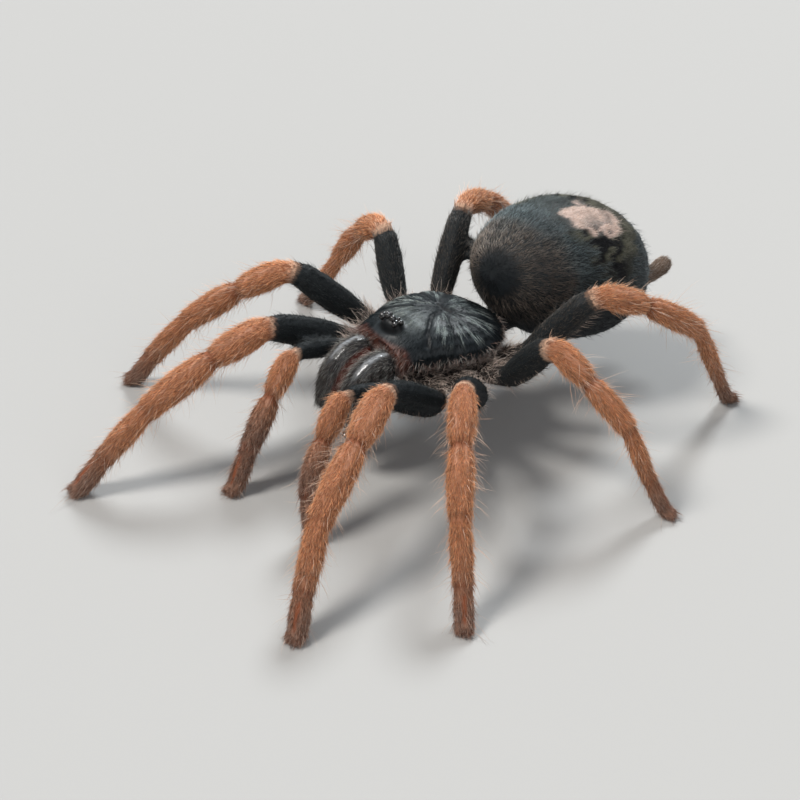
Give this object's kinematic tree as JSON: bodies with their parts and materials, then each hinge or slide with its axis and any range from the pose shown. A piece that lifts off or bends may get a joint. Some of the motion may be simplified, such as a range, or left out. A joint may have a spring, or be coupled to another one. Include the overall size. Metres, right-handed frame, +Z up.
{
  "type": "tarantula",
  "caption": "Still life-size tarantula with dark body, salmon legs and a pale patch on the abdomen, standing on its walking legs and palps.",
  "frame": {"origin": "on the floor, at the middle of the box in X and Y", "axes": "+Z up; the head faces -Y and the animal's left side is +X"},
  "size_m": [0.0464, 0.057, 0.0174],
  "materials": {
    "dark_limb": "near-black hairs with a grey-teal sheen",
    "salmon_limb": "salmon-orange short hairs with longer pale ones",
    "shell": "satin black shell with silver-grey radial hairs",
    "belly": "dark brown hairs with a pale tan fringe",
    "abdomen": "blue-black velvet of hairs with a pinkish-white patch",
    "claw": "glossy black-brown",
    "eyes": "wet black",
    "spinneret": "tan hairs"
  },
  "bodies": {
    "root": {"palp_left_femur": "dark_limb", "palp_left_patella": "salmon_limb", "palp_left_tibia": "salmon_limb", "palp_left_tarsus": "salmon_limb", "leg_1_left_femur": "dark_limb", "leg_1_left_patella": "salmon_limb", "leg_1_left_tibia": "salmon_limb", "leg_1_left_metatarsus": "salmon_limb", "leg_1_left_tarsus": "salmon_limb", "leg_2_left_femur": "dark_limb", "leg_2_left_patella": "salmon_limb", "leg_2_left_tibia": "salmon_limb", "leg_2_left_metatarsus": "salmon_limb", "leg_2_left_tarsus": "salmon_limb", "leg_3_left_femur": "dark_limb", "leg_3_left_patella": "salmon_limb", "leg_3_left_tibia": "salmon_limb", "leg_3_left_metatarsus": "salmon_limb", "leg_3_left_tarsus": "salmon_limb", "leg_4_left_femur": "dark_limb", "leg_4_left_patella": "salmon_limb", "leg_4_left_tibia": "salmon_limb", "leg_4_left_metatarsus": "salmon_limb", "leg_4_left_tarsus": "salmon_limb", "chelicera_left": "shell", "fang_left": "claw", "spinneret_left": "spinneret", "palp_right_femur": "dark_limb", "palp_right_patella": "salmon_limb", "palp_right_tibia": "salmon_limb", "palp_right_tarsus": "salmon_limb", "leg_1_right_femur": "dark_limb", "leg_1_right_patella": "salmon_limb", "leg_1_right_tibia": "salmon_limb", "leg_1_right_metatarsus": "salmon_limb", "leg_1_right_tarsus": "salmon_limb", "leg_2_right_femur": "dark_limb", "leg_2_right_patella": "salmon_limb", "leg_2_right_tibia": "salmon_limb", "leg_2_right_metatarsus": "salmon_limb", "leg_2_right_tarsus": "salmon_limb", "leg_3_right_femur": "dark_limb", "leg_3_right_patella": "salmon_limb", "leg_3_right_tibia": "salmon_limb", "leg_3_right_metatarsus": "salmon_limb", "leg_3_right_tarsus": "salmon_limb", "leg_4_right_femur": "dark_limb", "leg_4_right_patella": "salmon_limb", "leg_4_right_tibia": "salmon_limb", "leg_4_right_metatarsus": "salmon_limb", "leg_4_right_tarsus": "salmon_limb", "chelicera_right": "shell", "fang_right": "claw", "spinneret_right": "spinneret", "carapace": "shell", "eye_mound": "eyes", "underside": "belly", "abdomen": "abdomen"}
  },
  "joints": []
}
